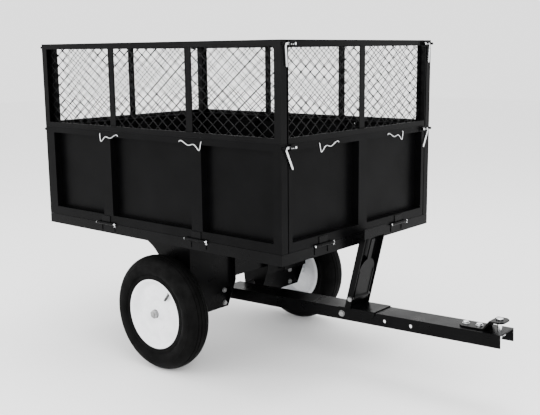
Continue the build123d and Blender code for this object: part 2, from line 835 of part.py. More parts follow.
def axle_bracket():
    """The right bracket: two cheeks, a beam round the axle, a plate between
    the cheeks, a gusset and the flanges that bolt to the cross members."""
    near, far = -bracket_inner, -bracket_outer
    face = bracket_outline()
    shape = Pos(0, far, 0) * extrude(face, amount=bracket_wall, dir=(0, 1, 0))
    shape += Pos(0, near - bracket_wall, 0) * extrude(face, amount=bracket_wall,
                                                      dir=(0, 1, 0))
    beam = block(axle_x - bracket_foot, axle_x + bracket_foot, far, near,
                 bracket_low, beam_top)
    beam -= block(axle_x - bracket_foot + bracket_wall,
                  axle_x + bracket_foot - bracket_wall, far + bracket_wall,
                  near - bracket_wall, bracket_low - 1, beam_top - bracket_wall)
    shape += beam
    front = axle_x + bracket_front
    shape += block(member_front, member_front + bracket_wall, far + bracket_wall,
                   near - bracket_wall, beam_top - bracket_wall, bed_bottom)
    gusset = [(far, beam_top), (far + gusset_bottom, beam_top),
              (far + gusset_bottom, beam_top + 20), (far + gusset_top, bed_bottom),
              (far, bed_bottom)]
    shape += plate_yz(gusset, front - bracket_wall, front)
    for edge, turn in ((far, 1), (near, -1)):
        inner = edge + turn * flange_depth
        shape += block(axle_x - bracket_rear, front, min(edge, inner),
                       max(edge, inner), bed_bottom - bracket_wall, bed_bottom)
    shape -= bar_y(axle_x, far - 1, near + 1, axle_z, axle_radius + running_gap)
    return shape


def beam_bolt(y, rise):
    """A bolt along X through a bracket's beam, above or below the axle."""
    z = axle_z + rise
    face = axle_x + bracket_foot
    head = hexagon_x(face, face + 6.4, y, z, 16)
    return head + bar_x(face - bracket_wall - 14, face, y, z, bracket_bolt_radius)


def flange_bolt(x, y):
    """A bolt head under a bracket's flange."""
    z = bed_bottom - bracket_wall
    return hexagon_z(x, y, z - 6.4, z, 16)


def cross_plate():
    """The plate between the two brackets, over the drawbar."""
    back = member_front
    return block(back, back + bracket_wall, -bracket_inner, bracket_inner,
                 cross_plate_low, bed_bottom)


right_bracket = axle_bracket()
bolt_places = [(turn * y, rise) for turn in (-1, 1) for rise in
               (-bracket_bolt_rise, bracket_bolt_rise)
               for y in (bracket_inner + beam_bolt_inner,
                         bracket_outer - beam_bolt_outer)]
holes = [bar_x(axle_x, axle_x + 60, y, axle_z + rise, bracket_bolt_radius)
         for y, rise in bolt_places if y < 0]
for hole in holes:
    right_bracket -= hole
flange_places = [(x, turn * y) for turn in (-1, 1)
                 for x in (member_rear, member_front - flange_bolt_back)
                 for y in (bracket_inner + flange_bolt_in,
                           bracket_outer - flange_bolt_in)]
save("axle_bracket_right", right_bracket)
save("axle_bracket_left", mirror(right_bracket, about=Plane.XZ))
save("bracket_bolts", *[beam_bolt(y, rise) for y, rise in bolt_places],
     *[flange_bolt(x, y) for x, y in flange_places])
save("cross_plate", cross_plate())


# ================================================================ running gear
hub_end = track_half + hub_half_length
washer_wall = 2.5
nut_wall = 9.0
axle_end = hub_end + seat_gap + washer_wall + nut_wall + 2


def axle_hardware(turn):
    """Collars, washer and nut on one end of the axle."""
    bore = axle_radius
    inner_collar = (drawbar_width / 2 + seat_gap, bracket_inner - seat_gap)
    outer_collar = (bracket_outer + seat_gap, track_half - hub_half_length - seat_gap)
    washer = (hub_end + seat_gap, hub_end + seat_gap + washer_wall)
    pieces = []
    for start, end in (inner_collar, outer_collar, washer):
        y0, y1 = sorted((turn * start, turn * end))
        ring = bar_y(axle_x, y0, y1, axle_z, collar_radius)
        pieces.append(ring - bar_y(axle_x, y0 - 1, y1 + 1, axle_z, bore))
    y0, y1 = sorted((turn * washer[1], turn * (washer[1] + nut_wall)))
    nut = hexagon_y(axle_x, y0, y1, axle_z, 24)
    pieces.append(nut - bar_y(axle_x, y0 - 1, y1 + 1, axle_z, bore))
    return pieces


def turned(points):
    """A ring turned about the wheel's axis, from (radius, offset) points,
    the offset being outward from the wheel's middle."""
    face = make_face(Polyline(*[(r, 0, -o) for r, o in points], close=True))
    ring = revolve(face, axis=Axis.Z, revolution_arc=360)
    return Rot(90, 0, 0) * ring


def tyre():
    """A ribbed tyre of round section."""
    outer, half = wheel_radius, tyre_half_width
    seat = rim_seat_radius + tyre_gap
    edge = rim_half_width - rim_wall - tyre_gap
    middle = rim_lip_radius + 32
    section = make_face([
        Line((seat, 0, edge), (rim_lip_radius + 1, 0, edge)),
        Spline((rim_lip_radius + 1, 0, edge), (middle, 0, half),
               (outer - 12, 0, half * 0.72), (outer, 0, 0),
               (outer - 12, 0, -half * 0.72), (middle, 0, -half),
               (rim_lip_radius + 1, 0, -edge)),
        Line((rim_lip_radius + 1, 0, -edge), (seat, 0, -edge)),
        Line((seat, 0, -edge), (seat, 0, edge))])
    ring = revolve(section, axis=Axis.Z, revolution_arc=360)
    return Rot(90, 0, 0) * ring


def rim():
    """A pressed rim: barrel with lips, dished disc and hub tube."""
    r, w, h = rim_seat_radius, rim_wall, rim_half_width
    barrel = turned([(r - w, -h + w), (r - w, h - w), (r - w, h), (rim_lip_radius, h),
                     (rim_lip_radius, h - w), (r, h - w), (r, -h + w),
                     (rim_lip_radius, -h + w), (rim_lip_radius, -h), (r - w, -h)])
    d = disc_offset
    disc = turned([(r - w + 0.5, d + 2), (r - 14, d + 8), (58, d + 12), (34, d + 6),
                   (hub_radius - 0.5, d + 6), (hub_radius - 0.5, d + 6 - w),
                   (35, d + 6 - w), (59, d + 12 - w), (r - 15, d + 8 - w),
                   (r - w + 0.5, d + 2 - w)])
    inner = hub_radius - hub_wall
    hub = turned([(inner, -hub_half_length), (hub_radius, -hub_half_length),
                  (hub_radius, hub_half_length), (inner, hub_half_length)])
    return barrel + disc + hub


def bush():
    """The bearing between hub and axle."""
    outer, inner = hub_radius - hub_wall, axle_radius + running_gap
    return turned([(inner, -hub_half_length), (outer, -hub_half_length),
                   (outer, hub_half_length), (inner, hub_half_length)])


def valve_stem():
    """A rubber stem from the barrel towards the hub, with its cap."""
    offset = disc_offset + 22
    base = rim_seat_radius - rim_wall - 0.3
    stem = bar_x(base - valve_length * 0.65, base, -offset, 0, valve_radius)
    stem += bar_x(base - valve_length, base - valve_length * 0.65, -offset, 0,
                  valve_radius - 1)
    return Rot(0, -valve_angle, 0) * stem


def at_wheel(shape, side):
    """Place a shape made for the right wheel, its outside along -Y."""
    if side == "left":
        shape = mirror(shape, about=Plane.XZ)
    turn = 1 if side == "left" else -1
    return Pos(axle_x, turn * track_half, axle_z) * shape


for side in long_sides:
    save(f"tyre_{side}", at_wheel(tyre(), side))
    save(f"rim_{side}", at_wheel(rim(), side))
    save(f"hub_bush_{side}", at_wheel(bush(), side))
    save(f"valve_stem_{side}", at_wheel(valve_stem(), side))
save("axle", bar_y(axle_x, -axle_end, axle_end, axle_z, axle_radius))
save("axle_hardware", *axle_hardware(-1), *axle_hardware(1))
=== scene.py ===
# %% [markdown]
# # A tow behind garden cart
#
# This lesson dresses a finished CAD model of a tipping garden cart. The CAD
# parts are already in their right places, so nothing is moved here. Each step
# either gives a part a painted or plated finish, or stands a finer piece in
# its place: woven wire, bent clips, tyres with ribs, bolts with chamfers.
#
# A new piece is hung on the moving body it rides on, and the plain CAD part
# it stands for is hidden.

# %% Load the frame
import json
import math

import bmesh
import bpy
from mathutils import Matrix, Vector


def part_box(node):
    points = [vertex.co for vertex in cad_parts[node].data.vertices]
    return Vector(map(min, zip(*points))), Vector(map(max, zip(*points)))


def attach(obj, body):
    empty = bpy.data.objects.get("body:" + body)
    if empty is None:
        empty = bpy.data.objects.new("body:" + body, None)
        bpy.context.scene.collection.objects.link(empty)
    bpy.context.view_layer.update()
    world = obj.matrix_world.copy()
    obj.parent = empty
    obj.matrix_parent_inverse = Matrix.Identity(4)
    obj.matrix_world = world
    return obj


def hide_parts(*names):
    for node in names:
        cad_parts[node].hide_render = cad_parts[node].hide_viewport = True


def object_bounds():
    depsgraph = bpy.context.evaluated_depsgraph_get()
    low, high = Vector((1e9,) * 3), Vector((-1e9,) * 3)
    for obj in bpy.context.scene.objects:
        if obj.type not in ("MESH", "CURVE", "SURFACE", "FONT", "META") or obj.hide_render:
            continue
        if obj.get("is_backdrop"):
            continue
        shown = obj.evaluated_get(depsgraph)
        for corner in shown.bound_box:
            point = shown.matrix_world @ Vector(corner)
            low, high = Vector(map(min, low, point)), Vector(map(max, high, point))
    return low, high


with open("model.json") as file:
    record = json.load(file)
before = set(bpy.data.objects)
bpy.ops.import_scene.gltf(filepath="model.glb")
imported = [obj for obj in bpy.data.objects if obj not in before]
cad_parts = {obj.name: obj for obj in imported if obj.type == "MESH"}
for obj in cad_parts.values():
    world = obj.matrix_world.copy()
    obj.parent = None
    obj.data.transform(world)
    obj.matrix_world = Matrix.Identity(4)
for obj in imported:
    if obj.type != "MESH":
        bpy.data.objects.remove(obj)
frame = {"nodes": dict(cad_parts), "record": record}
cad_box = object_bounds()
nodes = frame["nodes"]
joints = {j["name"]: j for j in frame["record"]["behaviour"]["joints"]}

# %% [markdown]
# ## Camera
#
# A camera is placed by its position and by three directions: backwards, right
# and up. Reckoning them from an angle round the cart, a height angle and a
# small roll is easier to adjust than turning the camera by hand. The lens is
# a mild telephoto, which keeps the long drawbar from looking stretched.

# %% Camera at a front corner
turn, rise, roll = math.radians(40.5), math.radians(10.33), math.radians(-0.58)
camera_place = (1.7438, -2.1353, 1.0006)
lens_length = 57.28
back = Vector((math.sin(turn) * math.cos(rise), -math.cos(turn) * math.cos(rise),
               math.sin(rise)))
level = Vector((math.cos(turn), math.sin(turn), 0))
up = back.cross(level)
camera_right = level * math.cos(roll) + up * math.sin(roll)
camera_up = up * math.cos(roll) - level * math.sin(roll)

camera_data = bpy.data.cameras.new("camera")
camera_data.sensor_width = 36
camera_data.lens = lens_length
camera = bpy.data.objects.new("camera", camera_data)
camera.matrix_world = Matrix((
    (camera_right.x, camera_up.x, back.x, camera_place[0]),
    (camera_right.y, camera_up.y, back.y, camera_place[1]),
    (camera_right.z, camera_up.z, back.z, camera_place[2]),
    (0, 0, 0, 1)))
bpy.context.scene.collection.objects.link(camera)
bpy.context.scene.camera = camera
print("camera", [round(v, 3) for v in camera.matrix_world.translation])

# %% [markdown]
# ## Floor and light
#
# Black paint shows almost nothing but what it reflects, so the light matters
# more than the paint. A pale floor and a bright plain sky make a white
# studio. Three wide soft lights give the folded edges their thin bright lines:
# a key from the front right, a fill along the side and one from above.

# %% Studio
def node_material(name):
    """A new node material with its main shader."""
    material = bpy.data.materials.new(name)
    material.use_nodes = True
    return material, material.node_tree, material.node_tree.nodes["Principled BSDF"]


floor_half = 14
floor_corners = [(x * floor_half, y * floor_half, 0)
                 for x, y in ((-1, -1), (1, -1), (1, 1), (-1, 1))]
floor_mesh = bpy.data.meshes.new("studio_floor")
floor_mesh.from_pydata(floor_corners, [], [(0, 1, 2, 3)])
floor = bpy.data.objects.new("studio_floor", floor_mesh)
bpy.context.scene.collection.objects.link(floor)
floor_paint, _, floor_shader = node_material("studio_floor_paint")
floor_shader.inputs["Base Color"].default_value = (0.95, 0.95, 0.95, 1)
floor_shader.inputs["Roughness"].default_value = 0.9
floor_mesh.materials.append(floor_paint)
floor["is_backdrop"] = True

sky = bpy.data.worlds.new("studio_sky")
sky.use_nodes = True
sky.node_tree.nodes["Background"].inputs["Color"].default_value = (1, 1, 1, 1)
sky.node_tree.nodes["Background"].inputs["Strength"].default_value = 2.1
bpy.context.scene.world = sky


def soft_light(name, place, target, size, power):
    """A square area light that faces a point."""
    data = bpy.data.lights.new(name, "AREA")
    data.shape = "SQUARE"
    data.size = size
    data.energy = power
    light = bpy.data.objects.new(name, data)
    light.location = place
    aim = Vector(target) - Vector(place)
    light.rotation_euler = aim.to_track_quat("-Z", "Y").to_euler()
    bpy.context.scene.collection.objects.link(light)
    return light


soft_light("key_light", (3.2, -2.2, 2.6), (0, 0, 0.6), 2.2, 120)
soft_light("side_light", (-1.8, -3.4, 1.9), (-0.2, 0, 0.5), 2.4, 80)
soft_light("top_light", (0.2, 0.4, 4.2), (0, 0, 0.5), 2.6, 130)
print("lights", 3)

# %% [markdown]
# ## Finishes
#
# Powder coat is a thin plastic skin: black, slightly soft, with a fine orange
# peel that breaks up reflections. It is made from one noise that lifts the
# surface a little and another, larger one that shifts the gloss. Bare zinc is
# a metal with cloudy patches, and enamel on a rim is smooth and bright.
# Object coordinates are in metres here, so a scale of 400 means bumps a few
# millimetres apart.

# %% Helpers for finishes
def noise(tree, scale, detail=3.0, rough=0.55, stretch=(1, 1, 1)):
    """A noise pattern fixed to the object, in metres."""
    place = tree.nodes.new("ShaderNodeTexCoord")
    size = tree.nodes.new("ShaderNodeMapping")
    size.inputs["Scale"].default_value = stretch
    pattern = tree.nodes.new("ShaderNodeTexNoise")
    pattern.inputs["Scale"].default_value = scale
    pattern.inputs["Detail"].default_value = detail
    pattern.inputs["Roughness"].default_value = rough
    tree.links.new(place.outputs["Object"], size.inputs["Vector"])
    tree.links.new(size.outputs["Vector"], pattern.inputs["Vector"])
    return pattern.outputs["Fac"]


def between(tree, source, low, high, start=0.3, end=0.7):
    """A pattern turned into numbers from low to high."""
    span = tree.nodes.new("ShaderNodeMapRange")
    span.inputs["From Min"].default_value = start
    span.inputs["From Max"].default_value = end
    span.inputs["To Min"].default_value = low
    span.inputs["To Max"].default_value = high
    tree.links.new(source, span.inputs["Value"])
    return span.outputs["Result"]


def shades(tree, source, dark, light, start=0.35, end=0.65):
    """A pattern turned into a blend of two colours."""
    ramp = tree.nodes.new("ShaderNodeValToRGB")
    ramp.color_ramp.elements[0].position = start
    ramp.color_ramp.elements[0].color = (*dark, 1)
    ramp.color_ramp.elements[1].position = end
    ramp.color_ramp.elements[1].color = (*light, 1)
    tree.links.new(source, ramp.inputs["Fac"])
    return ramp.outputs["Color"]


def lift(tree, shader, source, strength, depth):
    """A pattern used as a bump of that depth, in metres."""
    bump = tree.nodes.new("ShaderNodeBump")
    bump.inputs["Strength"].default_value = strength
    bump.inputs["Distance"].default_value = depth
    tree.links.new(source, bump.inputs["Height"])
    tree.links.new(bump.outputs["Normal"], shader.inputs["Normal"])


# %% Powder coat, in three degrees of gloss
def powder_coat(name, dark, light, gloss, peel, gleam):
    """Black powder coat. gloss is (smoothest, roughest), peel the bump."""
    material, tree, shader = node_material(name)
    tree.links.new(shades(tree, noise(tree, 9, 5), dark, light),
                   shader.inputs["Base Color"])
    tree.links.new(between(tree, noise(tree, 14, 4), *gloss),
                   shader.inputs["Roughness"])
    lift(tree, shader, noise(tree, 900, 2), peel, 0.0004)
    shader.inputs["Specular IOR Level"].default_value = gleam
    return material


frame_coat = powder_coat("frame_powder_coat", (0.0009, 0.0009, 0.001),
                         (0.0019, 0.0019, 0.0021), (0.24, 0.36), 0.25, 0.045)
panel_coat = powder_coat("panel_powder_coat", (0.0009, 0.0009, 0.001),
                         (0.0019, 0.0019, 0.0021), (0.3, 0.4), 0.2, 0.035)
wire_coat = powder_coat("wire_powder_coat", (0.002, 0.002, 0.0022),
                        (0.004, 0.004, 0.0043), (0.35, 0.5), 0.3, 0.1)
print("powder coats", 3)


# %% Zinc, enamel, rubber and plastic
def zinc_plate(name, dark, light, gloss):
    """Bright zinc plating with cloudy patches and fine scratches."""
    material, tree, shader = node_material(name)
    shader.inputs["Metallic"].default_value = 1.0
    tree.links.new(shades(tree, noise(tree, 60, 6), dark, light),
                   shader.inputs["Base Color"])
    tree.links.new(between(tree, noise(tree, 110, 5), *gloss),
                   shader.inputs["Roughness"])
    lift(tree, shader, noise(tree, 700, 4, 0.7, (1, 1, 6)), 0.35, 0.0002)
    return material


zinc = zinc_plate("bright_zinc", (0.62, 0.63, 0.64), (0.86, 0.87, 0.88), (0.2, 0.38))
dull_zinc = zinc_plate("dull_zinc", (0.2, 0.2, 0.2), (0.34, 0.34, 0.34), (0.36, 0.55))

rim_enamel, rim_tree, rim_shader = node_material("rim_enamel")
rim_tree.links.new(shades(rim_tree, noise(rim_tree, 18, 5), (0.76, 0.77, 0.79),
                          (0.86, 0.87, 0.89)), rim_shader.inputs["Base Color"])
rim_tree.links.new(between(rim_tree, noise(rim_tree, 25, 4), 0.22, 0.34),
                   rim_shader.inputs["Roughness"])
lift(rim_tree, rim_shader, noise(rim_tree, 350, 2), 0.15, 0.0003)

tyre_rubber, tyre_tree, tyre_shader = node_material("tyre_rubber")
tyre_tree.links.new(shades(tyre_tree, noise(tyre_tree, 22, 7, 0.65),
                           (0.001, 0.001, 0.001), (0.0034, 0.0034, 0.0034)),
                    tyre_shader.inputs["Base Color"])
tyre_tree.links.new(between(tyre_tree, noise(tyre_tree, 40, 5), 0.5, 0.72),
                    tyre_shader.inputs["Roughness"])
lift(tyre_tree, tyre_shader, noise(tyre_tree, 600, 5), 0.4, 0.0004)
tyre_shader.inputs["Specular IOR Level"].default_value = 0.03

soft_plastic, plastic_tree, plastic_shader = node_material("black_plastic")
plastic_tree.links.new(shades(plastic_tree, noise(plastic_tree, 120, 4),
                              (0.008, 0.008, 0.008), (0.02, 0.02, 0.02)),
                       plastic_shader.inputs["Base Color"])
plastic_tree.links.new(between(plastic_tree, noise(plastic_tree, 200, 3), 0.4, 0.6),
                       plastic_shader.inputs["Roughness"])
lift(plastic_tree, plastic_shader, noise(plastic_tree, 1500, 3), 0.3, 0.0002)
print("finishes", len(bpy.data.materials))

# %% [markdown]
# ## Folded sheet metal
#
# The bed, the panels, the brackets and the drawbar are right as they are, but
# a CAD edge is perfectly sharp, and a real fold is not. A bevel modifier
# rounds every edge sharper than a fold without touching the mesh below it.
# It is the round that catches the light as a thin line.

# %% Finish and soften the CAD parts
panel_round, frame_round = 0.0006, 0.0007
fold_angle = math.radians(35)


def soften(node, width):
    """Round a CAD part's edges with a modifier."""
    bevel = nodes[node].modifiers.new("folded_edge", "BEVEL")
    bevel.width = width
    bevel.segments = 2
    bevel.limit_method = "ANGLE"
    bevel.angle_limit = fold_angle
    bevel.use_clamp_overlap = True


def finish(node, material):
    """Give a CAD part one finish."""
    mesh = nodes[node].data
    if not mesh.materials:
        mesh.materials.append(material)
    for number in range(len(mesh.materials)):
        mesh.materials[number] = material


sides = ("right", "left", "front", "rear")
for side in sides:
    finish(f"panel_{side}", panel_coat)
    soften(f"panel_{side}", panel_round)
    finish(f"mesh_frame_{side}", frame_coat)
    soften(f"mesh_frame_{side}", panel_round)
    finish(f"hinge_leaves_{side}", frame_coat)
for node in ("bed_frame", "cross_members", "bed_floor", "drawbar", "hitch_plate",
             "latch_stand", "latch_foot_lever", "strike_plate", "cross_plate",
             "axle_bracket_right", "axle_bracket_left", "hinge_ears"):
    finish(node, frame_coat)
for node in ("bed_frame", "drawbar", "hitch_plate", "latch_stand",
             "latch_foot_lever", "strike_plate", "cross_plate"):
    soften(node, frame_round)
for side in ("right", "left"):
    finish(f"hub_bush_{side}", soft_plastic)
finish("axle", dull_zinc)
print("CAD parts finished", len(nodes))

# %% [markdown]
# ## Tools for new pieces
#
# Three ways of making a mesh cover nearly everything on a cart. A lathe turns
# a half profile round an axis, for tyres, rims, pins and nuts. A bent wire is
# a curve with thickness. A flat bar is an outline that is filled, thickened
# and given rounded edges. Each helper makes one object and names it.

# %% Helpers for meshes
def new_object(name, mesh, material):
    """Put a mesh or curve in the scene with its finish."""
    piece = bpy.data.objects.new(name, mesh)
    bpy.context.scene.collection.objects.link(piece)
    mesh.materials.append(material)
    return piece


def lathe(profile, steps, axis, centre, phase=0.0):
    """Vertices and faces of a profile of (radius, along) turned about an
    axis through centre. The profile is a closed loop."""
    axis = Vector(axis).normalized()
    side = axis.orthogonal().normalized()
    other = axis.cross(side)
    count = len(profile)
    verts, faces = [], []
    for step in range(steps):
        angle = phase + math.tau * step / steps
        out = side * math.cos(angle) + other * math.sin(angle)
        verts += [Vector(centre) + out * r + axis * a for r, a in profile]
    for step in range(steps):
        here, ahead = step * count, (step + 1) % steps * count
        for point in range(count):
            after = (point + 1) % count
            faces.append((here + point, here + after, ahead + after, ahead + point))
    return verts, faces


def joined(name, parts, material, smooth_below=38):
    """One object from several (vertices, faces) parts."""
    verts, faces = [], []
    for part_verts, part_faces in parts:
        start = len(verts)
        verts += [tuple(v) for v in part_verts]
        faces += [tuple(i + start for i in face) for face in part_faces]
    mesh = bpy.data.meshes.new(name)
    mesh.from_pydata(verts, [], faces)
    tidy = bmesh.new()
    tidy.from_mesh(mesh)
    bmesh.ops.remove_doubles(tidy, verts=tidy.verts, dist=0.000002)
    bmesh.ops.recalc_face_normals(tidy, faces=tidy.faces)
    for edge in tidy.edges:
        corner = edge.calc_face_angle(0.0)
        edge.smooth = corner < math.radians(smooth_below)
    for face in tidy.faces:
        face.smooth = True
    tidy.to_mesh(mesh)
    tidy.free()
    return new_object(name, mesh, material)


def bent_wires(name, paths, radius, material, smooth=True, resolution=3):
    """Round wires along paths, as one curve object."""
    curve = bpy.data.curves.new(name, "CURVE")
    curve.dimensions = "3D"
    curve.bevel_depth = radius
    curve.bevel_resolution = resolution
    curve.use_fill_caps = True
    curve.resolution_u = 6
    for path in paths:
        spline = curve.splines.new("NURBS" if smooth else "POLY")
        spline.points.add(len(path) - 1)
        for point, place in zip(spline.points, path):
            point.co = (*place, 1)
        if smooth:
            spline.order_u = 3
            spline.use_endpoint_u = True
    return new_object(name, curve, material)


def flat_bar(path, width, thick, plane_x, corner_steps=8):
    """A flat bar in a plane of constant X, round at both ends, along a path
    of (y, z) points. Returns vertices and faces."""
    path = [Vector((0, y, z)) for y, z in path]
    half = width / 2
    rail = []
    for forward in (True, False):
        points = path if forward else list(reversed(path))
        for index, point in enumerate(points):
            ahead = points[min(index + 1, len(points) - 1)]
            behind = points[max(index - 1, 0)]
            along = (ahead - behind).normalized()
            out = Vector((0, along.z, -along.y))
            rail.append(point + out * half)
        last = (points[-1] - points[-2]).normalized()
        out = Vector((0, last.z, -last.y))
        for step in range(1, corner_steps):
            angle = math.pi * step / corner_steps
            rail.append(points[-1] + out * (half * math.cos(angle))
                        + last * (half * math.sin(angle)))
    count = len(rail)
    verts = [Vector((plane_x, p.y, p.z)) for p in rail]
    verts += [Vector((plane_x + thick, p.y, p.z)) for p in rail]
    faces = [tuple(range(count)), tuple(range(2 * count - 1, count - 1, -1))]
    for index in range(count):
        after = (index + 1) % count
        faces.append((index, index + count, after + count, after))
    return verts, faces


def rounded(piece, width):
    """Round a new piece's edges."""
    bevel = piece.modifiers.new("worn_edge", "BEVEL")
    bevel.width = width
    bevel.segments = 2
    bevel.limit_method = "ANGLE"
    bevel.angle_limit = math.radians(40)


def hexagon(place, axis, flats, height, phase=0.0):
    """A bolt head or nut with a chamfered top: (vertices, faces)."""
    radius = flats / math.sqrt(3)
    chamfer = radius * 0.1
    profile = [(0.0, 0.0), (radius, 0.0), (radius, height - chamfer),
               (radius - chamfer * 1.6, height), (0.0, height)]
    return lathe(profile, 6, axis, place, phase)


def washer(place, axis, outer, thick):
    """A washer as a round disc with eased rims."""
    ease = thick * 0.25
    profile = [(0.0, 0.0), (outer - ease, 0.0), (outer, ease), (outer, thick - ease),
               (outer - ease, thick), (0.0, thick)]
    return lathe(profile, 32, axis, place)


def stud(place, axis, radius, length, pitch=0.0015):
    """A bolt's end with thread ridges."""
    profile = [(0.0, 0.0)]
    turns = max(2, int(length / pitch))
    for ridge in range(turns):
        start = ridge * length / turns
        profile += [(radius * 0.88, start), (radius, start + length / turns / 2)]
    profile += [(radius * 0.85, length), (0.0, length)]
    return lathe(profile, 16, axis, place)


print("helpers ready")

# %% [markdown]
# ## Tyres
#
# The tyre is a lathe job: one cross section swept round the axle. The section
# bulges past the rim at its sides, so the points follow an oval. Shallow
# grooves are cut into the tread by adding points that drop inward, and two
# raised rings on each sidewall are the moulding lines that every tyre has.

# %% Tyre section and tyres
tread_radius = 0.185
tyre_half = 0.0440
bead_radius = 0.1045
crown_middle = 0.146
groove_places = (-0.0185, -0.0075, 0.0075, 0.0185)
groove_edges = ((-0.0013, 0), (-0.0009, 0.0022), (0.0009, 0.0022), (0.0013, 0))
tread_starts = 0.165
moulding_rings = (0.127, 0.158)
sidewall_starts = 0.025


def tyre_section():
    """Points round the tyre, from one bead over the tread to the other."""
    points = [(bead_radius, -0.030), (bead_radius + 0.002, -0.0345),
              (0.1135, -0.0375)]
    for step in range(1, 44):
        angle = math.radians(-128 + 256 * step / 44)
        wide, high = math.sin(angle), math.cos(angle)
        high = math.copysign(abs(high) ** 0.86, high)
        reach = tread_radius - crown_middle if high > 0 else 0.033
        points.append((crown_middle + reach * high, tyre_half * wide))
    points += [(0.1135, 0.0375), (bead_radius + 0.002, 0.0345), (bead_radius, 0.030)]
    return [(min(r, tread_radius - 0.0001), max(-tyre_half, min(tyre_half, a)))
            for r, a in points]


def with_details(section):
    """Add exact groove edges and moulding rings to the section."""
    detailed = []
    for (r0, a0), (r1, a1) in zip(section, section[1:]):
        detailed.append((r0, a0))
        for place in groove_places:
            for edge, deep in groove_edges:
                mark = place + edge
                if a0 < mark < a1 and r0 > tread_starts:
                    share = (mark - a0) / (a1 - a0)
                    detailed.append((r0 + (r1 - r0) * share - deep, mark))
        for ring in moulding_rings:
            low, high = sorted((r0, r1))
            if low < ring < high and abs(a0) > sidewall_starts:
                share = (ring - r0) / (r1 - r0)
                middle = a0 + (a1 - a0) * share
                out = math.copysign(0.0006, middle)
                step = math.copysign(0.0009, r1 - r0)
                detailed += [(ring - step, middle), (ring, middle + out),
                             (ring + step, middle)]
    detailed.append(section[-1])
    return detailed


wheels = {"right": joints["wheel_spin_right"]["pos_m"],
          "left": joints["wheel_spin_left"]["pos_m"]}
outward = {"right": (0, -1, 0), "left": (0, 1, 0)}
for side, centre in wheels.items():
    section = with_details(tyre_section())
    tyre = joined(f"ribbed_tyre_{side}",
                  [lathe(section, 128, outward[side], centre)], tyre_rubber, 30)
    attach(tyre, f"wheel_{side}")
    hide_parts(f"tyre_{side}")
print("tyres", 2, "points in a section", len(section))

# %% [markdown]
# ## Rims
#
# Pressed rims have a rolled lip, a well behind it and a shallow dish in the
# middle. It is again a lathe, with small radii drawn into the section so that
# the enamel shows soft rings of light. The valve stem is a rubber tube that
# comes out of the well, with a cap on its end.

# %% Rims, hubs and valves
rim_section = [
    (0.1005, -0.038), (0.1095, -0.038), (0.1118, -0.0375), (0.1130, -0.0355),
    (0.1124, -0.0338), (0.1105, -0.0332), (0.1045, -0.0325), (0.1035, -0.029),
    (0.0985, -0.012), (0.0985, 0.008), (0.1035, 0.026), (0.1045, 0.0320),
    (0.1105, 0.0332), (0.1124, 0.0338), (0.1130, 0.0355), (0.1118, 0.0375),
    (0.1095, 0.0380), (0.1060, 0.0366), (0.1025, 0.0330), (0.1000, 0.0270),
    (0.0970, 0.0215), (0.0930, 0.0185), (0.0880, 0.0180), (0.0800, 0.0198),
    (0.0700, 0.0212), (0.0600, 0.0212), (0.0520, 0.0190), (0.0450, 0.0150),
    (0.0380, 0.0128), (0.0300, 0.0124), (0.0240, 0.0130), (0.0200, 0.0150),
    (0.0178, 0.0190), (0.0172, 0.0280), (0.0160, 0.0298), (0.0141, 0.0300),
    (0.0141, -0.0300), (0.0170, -0.0300), (0.0170, 0.0080), (0.0300, 0.0100),
    (0.0600, 0.0184), (0.0800, 0.0172), (0.0930, 0.0158), (0.0960, 0.0080),
    (0.0960, -0.0120), (0.1005, -0.0290), (0.1010, -0.0350)]
stem_angle = math.radians(50)
for side, centre in wheels.items():
    rim = joined(f"enamelled_rim_{side}",
                 [lathe(rim_section, 96, outward[side], centre)], rim_enamel, 40)
    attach(rim, f"wheel_{side}")
    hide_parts(f"rim_{side}")
    sign = -1 if side == "right" else 1
    ray = Vector((math.cos(stem_angle), 0, math.sin(stem_angle)))
    foot = Vector(centre) + ray * 0.0995 + Vector((0, sign * 0.0275, 0))
    rubber = [(0.0, 0.0), (0.0056, 0.0), (0.0056, 0.002), (0.0044, 0.005),
              (0.0040, 0.018), (0.0034, 0.019), (0.0034, 0.022), (0.0041, 0.0225),
              (0.0041, 0.0325), (0.0036, 0.0338), (0.0, 0.0338)]
    valve = joined(f"valve_and_cap_{side}", [lathe(rubber, 24, -ray, foot)],
                   soft_plastic, 35)
    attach(valve, f"wheel_{side}")
    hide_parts(f"valve_stem_{side}")
print("rims", 2)

# %% [markdown]
# ## Axle collars, washers and nuts
#
# Each wheel is held between a collar and a nut with a washer. Nuts are
# six-step lathes with a chamfer.

# %% Axle fittings
axle_centre = Vector(joints["bed_tip"]["pos_m"])
fittings = []
for sign in (-1, 1):
    out = (0, sign, 0)

    def across(y):
        """A point on the axle's line."""
        return Vector((axle_centre.x, sign * y, axle_centre.z))

    collar = [(0.0081, 0.0), (0.0118, 0.0), (0.013, 0.0012), (0.013, 0.0199),
              (0.0118, 0.0211), (0.0081, 0.0211)]
    fittings.append(lathe(collar, 40, out, across(0.2955)))
    inner = [(0.0081, 0.0), (0.0122, 0.0), (0.013, 0.0008), (0.013, 0.0386),
             (0.0122, 0.0394), (0.0081, 0.0394)]
    fittings.append(lathe(inner, 40, out, across(0.0433)))
    fittings.append(washer(across(0.3823), out, 0.013, 0.0025))
    fittings.append(hexagon(across(0.3848), out, 0.0236, 0.0088))
axle_fittings = joined("axle_collars_and_nuts", fittings, dull_zinc, 30)
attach(axle_fittings, "chassis")
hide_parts("axle_hardware")
print("axle fittings", len(fittings))

# %% [markdown]
# ## Woven mesh
#
# The extensions are filled with thin wire in a diamond pattern. Each wire
# runs straight from edge to edge at the slope of a diamond and dips over and
# under the wires that cross it. Curves with a little thickness are lighter
# than a mesh and stay round up close.

# %% Diamond wires
diamond_wide, diamond_high = 0.042, 0.033
strand = 0.00115


